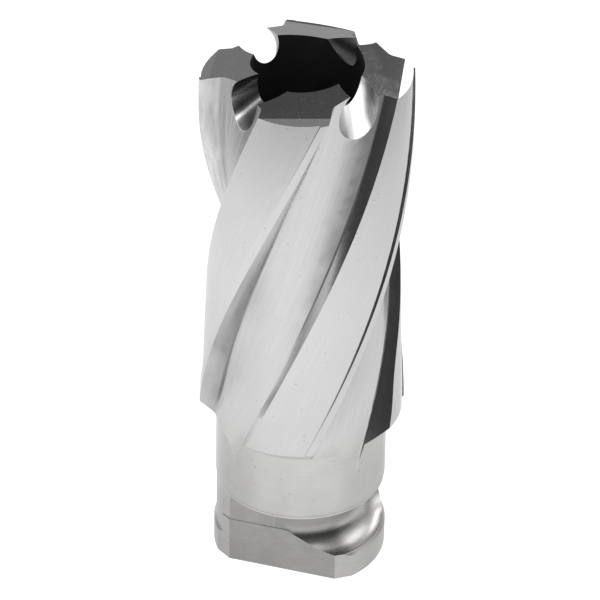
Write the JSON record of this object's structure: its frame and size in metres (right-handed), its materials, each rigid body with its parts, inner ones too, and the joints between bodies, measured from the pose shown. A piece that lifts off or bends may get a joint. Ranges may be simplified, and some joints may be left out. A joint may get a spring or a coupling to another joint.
{
  "type": "annular cutter",
  "caption": "Hollow core cutter with spiral flutes, ground teeth around a core bore, a plain collar and a bayonet shank with two flats.",
  "frame": {"origin": "centre of the shank's foot, on the cutter's axis of rotation", "axes": "+Z along the axis towards the teeth, +Y out of one of the two flats of the shank"},
  "size_m": [0.016, 0.016, 0.0436],
  "materials": {
    "ground_steel": "fine ground, bright"
  },
  "bodies": {
    "root": {"annular_cutter": "ground_steel"}
  },
  "joints": []
}
